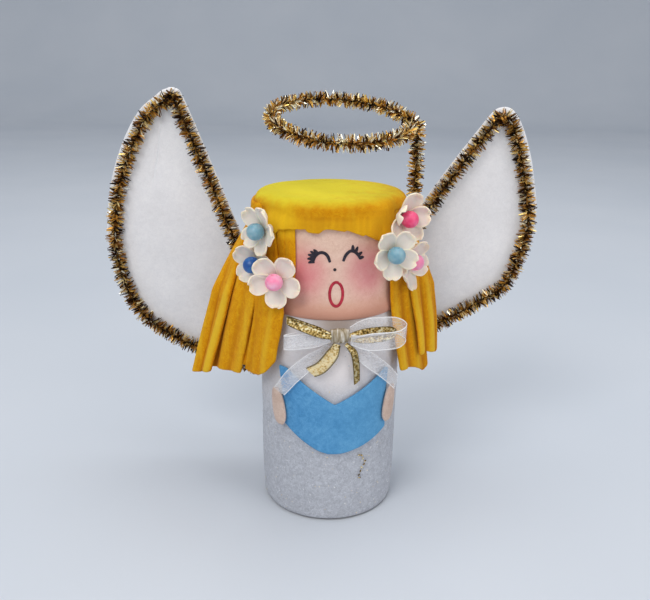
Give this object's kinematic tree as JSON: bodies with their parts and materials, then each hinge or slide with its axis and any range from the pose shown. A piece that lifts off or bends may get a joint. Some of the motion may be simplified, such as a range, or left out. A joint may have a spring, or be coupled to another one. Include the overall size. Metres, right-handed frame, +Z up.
{
  "type": "angel ornament",
  "caption": "Standing angel figure on a cardboard roll with felt gown and hair, open song book, ribbon bow, hair flowers, tinsel-edged wings that flex and a bendable tinsel halo.",
  "frame": {"origin": "middle of the base of the bounding box, on the surface the roll stands on", "axes": "+X to the right in the picture, from the wing with the lower tip edge to the halo's stem side, -Y out of the face, +Z up along the roll"},
  "size_m": [0.1524, 0.0562, 0.1358],
  "materials": {
    "cardboard": "raw grey-brown board",
    "white_felt": "white felt with fine glitter",
    "skin_felt": "smooth skin-coloured felt",
    "yellow_felt": "golden yellow felt",
    "blue_felt": "mid blue felt",
    "sheer_ribbon": "sheer white ribbon",
    "gold_ribbon": "metallic gold ribbon",
    "petal_white": "white petals with cream edges",
    "bead_pale_pink": "satin pale pink",
    "bead_rose": "satin rose pink",
    "bead_sky": "satin light blue",
    "bead_blue": "satin deep blue",
    "wing_white": "stiffened white felt",
    "tinsel_gold": "gold tinsel fibres on a thin wire"
  },
  "bodies": {
    "figure": {"cardboard_tube": "cardboard", "gown_wrap": "white_felt", "face_band": "skin_felt", "hair_cap": "yellow_felt", "hair_back": "yellow_felt", "hair_flap_left": "yellow_felt", "hair_flap_right": "yellow_felt", "song_book": "blue_felt", "left_hand": "skin_felt", "right_hand": "skin_felt", "bow_knot": "sheer_ribbon", "white_loop_left": "sheer_ribbon", "white_loop_right": "sheer_ribbon", "white_tail_left": "sheer_ribbon", "white_tail_right": "sheer_ribbon", "gold_loop_left": "gold_ribbon", "gold_loop_right": "gold_ribbon", "gold_tail_left": "gold_ribbon", "gold_tail_right": "gold_ribbon", "flower_left_front_petals": "petal_white", "flower_left_front_bead": "bead_pale_pink", "flower_left_outer_petals": "petal_white", "flower_left_outer_bead": "bead_blue", "flower_left_upper_petals": "petal_white", "flower_left_upper_bead": "bead_sky", "flower_right_front_petals": "petal_white", "flower_right_front_bead": "bead_sky", "flower_right_outer_petals": "petal_white", "flower_right_outer_bead": "bead_pale_pink", "flower_right_upper_petals": "petal_white", "flower_right_upper_bead": "bead_rose", "left_wing_tab": "wing_white", "right_wing_tab": "wing_white", "halo_root": "tinsel_gold"},
    "left_wing": {"left_wing_panel": "wing_white", "left_wing_trim": "tinsel_gold"},
    "right_wing": {"right_wing_panel": "wing_white", "right_wing_trim": "tinsel_gold"},
    "halo_stem": {"halo_stem": "tinsel_gold"},
    "halo_ring": {"halo_ring": "tinsel_gold"},
    "left_hair": {"left_lock_1": "yellow_felt", "left_lock_2": "yellow_felt", "left_lock_3": "yellow_felt", "left_lock_4": "yellow_felt"},
    "right_hair": {"right_lock_1": "yellow_felt", "right_lock_2": "yellow_felt", "right_lock_3": "yellow_felt"}
  },
  "joints": [
    {"name": "left_wing_flex", "type": "hinge", "parent": "figure", "child": "left_wing", "pos_m": [-0.00738, 0.02268, 0.0385], "axis": [0, 0, -1], "range_deg": [-12, 35], "stiffness_Nm_per_rad": 0.003},
    {"name": "right_wing_flex", "type": "hinge", "parent": "figure", "child": "right_wing", "pos_m": [0.01496, 0.02268, 0.0495], "axis": [0, 0, 1], "range_deg": [-12, 35], "stiffness_Nm_per_rad": 0.003},
    {"name": "halo_lean", "type": "hinge", "parent": "figure", "child": "halo_stem", "pos_m": [0.03001, 0.00373, 0.109], "axis": [0, 1, 0], "range_deg": [-8, 30]},
    {"name": "halo_nod", "type": "hinge", "parent": "halo_stem", "child": "halo_ring", "pos_m": [0.03001, 0.00373, 0.1226], "axis": [1, 0, 0], "range_deg": [-20, 20]},
    {"name": "left_hair_lift", "type": "hinge", "parent": "figure", "child": "left_hair", "pos_m": [-0.02306, -0.00512, 0.072], "axis": [-0.7056, 0.7086, 0], "range_deg": [0, 30]},
    {"name": "right_hair_lift", "type": "hinge", "parent": "figure", "child": "right_hair", "pos_m": [0.02952, -0.00358, 0.0755], "axis": [-0.642, -0.7667, 0], "range_deg": [0, 30]}
  ]
}
